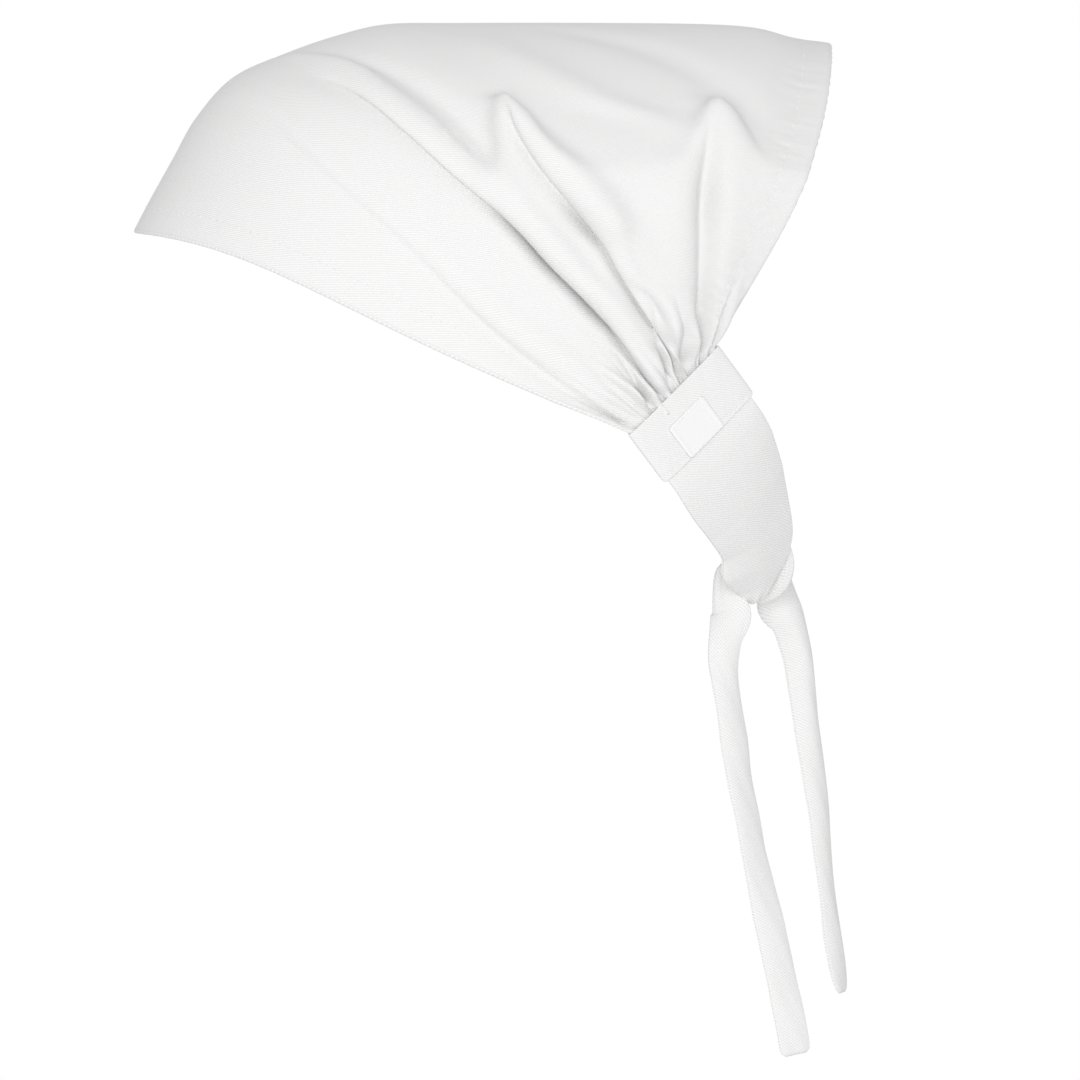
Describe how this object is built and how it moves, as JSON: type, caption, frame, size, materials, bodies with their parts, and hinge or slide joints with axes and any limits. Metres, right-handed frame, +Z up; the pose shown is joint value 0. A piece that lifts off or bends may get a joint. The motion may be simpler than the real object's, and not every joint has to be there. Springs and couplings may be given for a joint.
{
  "type": "bandana chef hat",
  "caption": "Gathered twill cloth hat, open front and back, with folded side cuffs, a small sewn label and two ties in a half knot at the nape.",
  "frame": {"origin": "inner face of the cloth where the top of the wearer's head touches it, on the middle plane", "axes": "+X to the wearer's left, +Y to the wearer's back, +Z up; the wearer faces -Y"},
  "size_m": [0.1559, 0.2241, 0.3212],
  "materials": {
    "crown_cloth": "matt white twill",
    "cuff_cloth": "matt white twill",
    "tie_cloth": "matt white twill",
    "label_cloth": "smooth white woven tape"
  },
  "bodies": {
    "root": {"crown_panel": "crown_cloth", "cuff_left": "cuff_cloth", "cuff_right": "cuff_cloth", "tie_left": "tie_cloth", "tie_right": "tie_cloth", "label": "label_cloth"}
  },
  "joints": []
}
